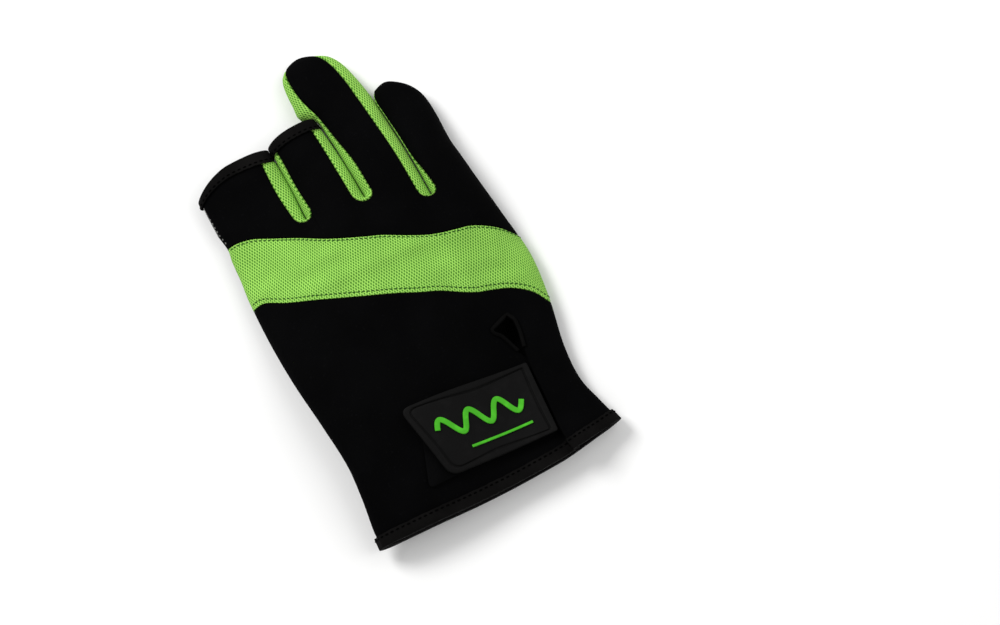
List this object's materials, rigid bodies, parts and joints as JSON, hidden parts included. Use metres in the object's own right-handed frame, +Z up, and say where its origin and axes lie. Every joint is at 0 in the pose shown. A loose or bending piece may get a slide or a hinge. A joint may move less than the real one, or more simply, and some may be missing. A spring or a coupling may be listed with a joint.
{
  "type": "fishing glove",
  "caption": "Right-hand fishing glove lying back up: open thumb, index and middle fingers, closed ring and pinky fingers, mesh knuckle band and gussets, wrist slit with a tab.",
  "frame": {"origin": "middle of the underside of the glove's box, on the surface that it lies on", "axes": "+Y from the cuff to the fingertips, +X from the index side to the pinky side, +Z up out of the back"},
  "size_m": [0.1164, 0.2038, 0.0271],
  "materials": {
    "neoprene_black": "smooth matt neoprene",
    "mesh_green": "lime green honeycomb knit mesh",
    "palm_grip": "black knit with a grid of pale silicone dots",
    "binding_tape": "folded black tape with a row of stitches",
    "tab_rubber": "dark grey moulded rubber, fine matt grain",
    "tab_relief": "bright green moulded relief",
    "loop_patch": "black brushed loop cloth"
  },
  "bodies": {
    "root": {"back_upper": "neoprene_black", "back_lower": "neoprene_black", "thumb_back": "neoprene_black", "knuckle_band": "mesh_green", "fourchette_index_middle": "mesh_green", "fourchette_middle_ring": "mesh_green", "fourchette_ring_pinky": "mesh_green", "palm": "palm_grip", "thumb_palm": "palm_grip", "index_binding": "binding_tape", "middle_binding": "binding_tape", "thumb_binding": "binding_tape", "cuff_binding": "binding_tape", "slit_binding": "binding_tape", "closure_tab": "tab_rubber", "tab_wave": "tab_relief", "tab_bar": "tab_relief", "loop_patch": "loop_patch"}
  },
  "joints": []
}
